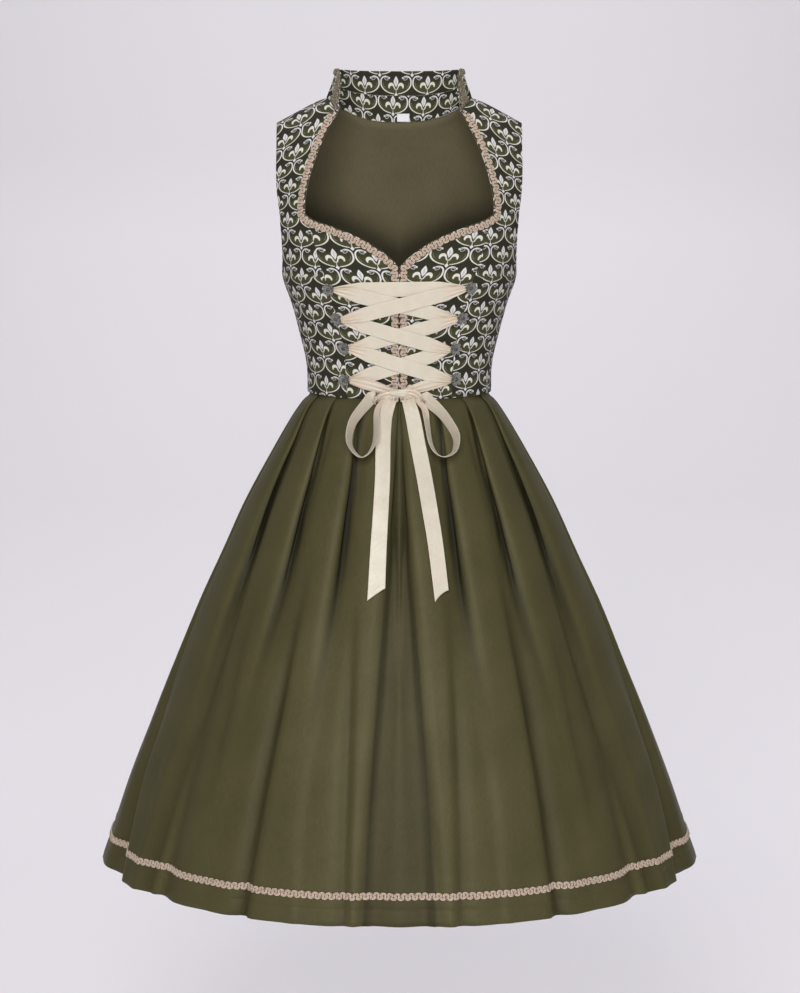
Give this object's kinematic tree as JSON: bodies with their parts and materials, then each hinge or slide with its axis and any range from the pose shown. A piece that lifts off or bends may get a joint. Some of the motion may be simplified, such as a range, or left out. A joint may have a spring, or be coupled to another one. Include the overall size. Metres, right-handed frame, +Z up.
{
  "type": "dirndl dress",
  "caption": "Sleeveless dirndl dress in worn form: high stand collar, deep keyhole neckline, ribbon-laced bodice with braid edging and a full pleated skirt with a braid hem.",
  "frame": {"origin": "the middle of the neck, at the height of the neck points where the shoulder seams meet the collar; the wearer holds the dress there", "axes": "+Z up, from hem to collar; the front faces -Y; +X is on the right hand of someone who looks at the front"},
  "size_m": [0.87, 0.7084, 1.1403],
  "materials": {
    "printed_green": "dark green cotton printed all over with a small silver-grey lily and scroll pattern",
    "olive_skirt": "olive green cotton with a slight sheen",
    "olive_lining": "plain olive lining cloth, matt",
    "ribbon_satin": "ivory satin ribbon",
    "braid": "woven gimp braid, rose beige",
    "white_tape": "white woven tape, blank",
    "antique_silver": "pressed filigree rosette, darkened silver"
  },
  "bodies": {
    "root": {"back": "printed_green", "back_lining": "olive_lining", "bow_knot": "ribbon_satin", "bow_loop_left": "ribbon_satin", "bow_loop_right": "ribbon_satin", "bow_tail_left": "ribbon_satin", "bow_tail_right": "ribbon_satin", "braid_collar": "braid", "braid_front_left": "braid", "braid_front_right": "braid", "braid_hem_back": "braid", "braid_hem_front": "braid", "collar": "printed_green", "front_centre_left": "printed_green", "front_centre_right": "printed_green", "front_side_left": "printed_green", "front_side_right": "printed_green", "lacing_top": "ribbon_satin", "lacing_1_under": "ribbon_satin", "lacing_1_over": "ribbon_satin", "lacing_2_under": "ribbon_satin", "lacing_2_over": "ribbon_satin", "lacing_3_under": "ribbon_satin", "lacing_3_over": "ribbon_satin", "lacing_4_left": "ribbon_satin", "lacing_4_right": "ribbon_satin", "neck_tab": "white_tape", "skirt_front": "olive_skirt", "skirt_back": "olive_skirt", "rosette_left_1": "antique_silver", "rosette_left_2": "antique_silver", "rosette_left_3": "antique_silver", "rosette_left_4": "antique_silver", "rosette_right_1": "antique_silver", "rosette_right_2": "antique_silver", "rosette_right_3": "antique_silver", "rosette_right_4": "antique_silver"}
  },
  "joints": []
}
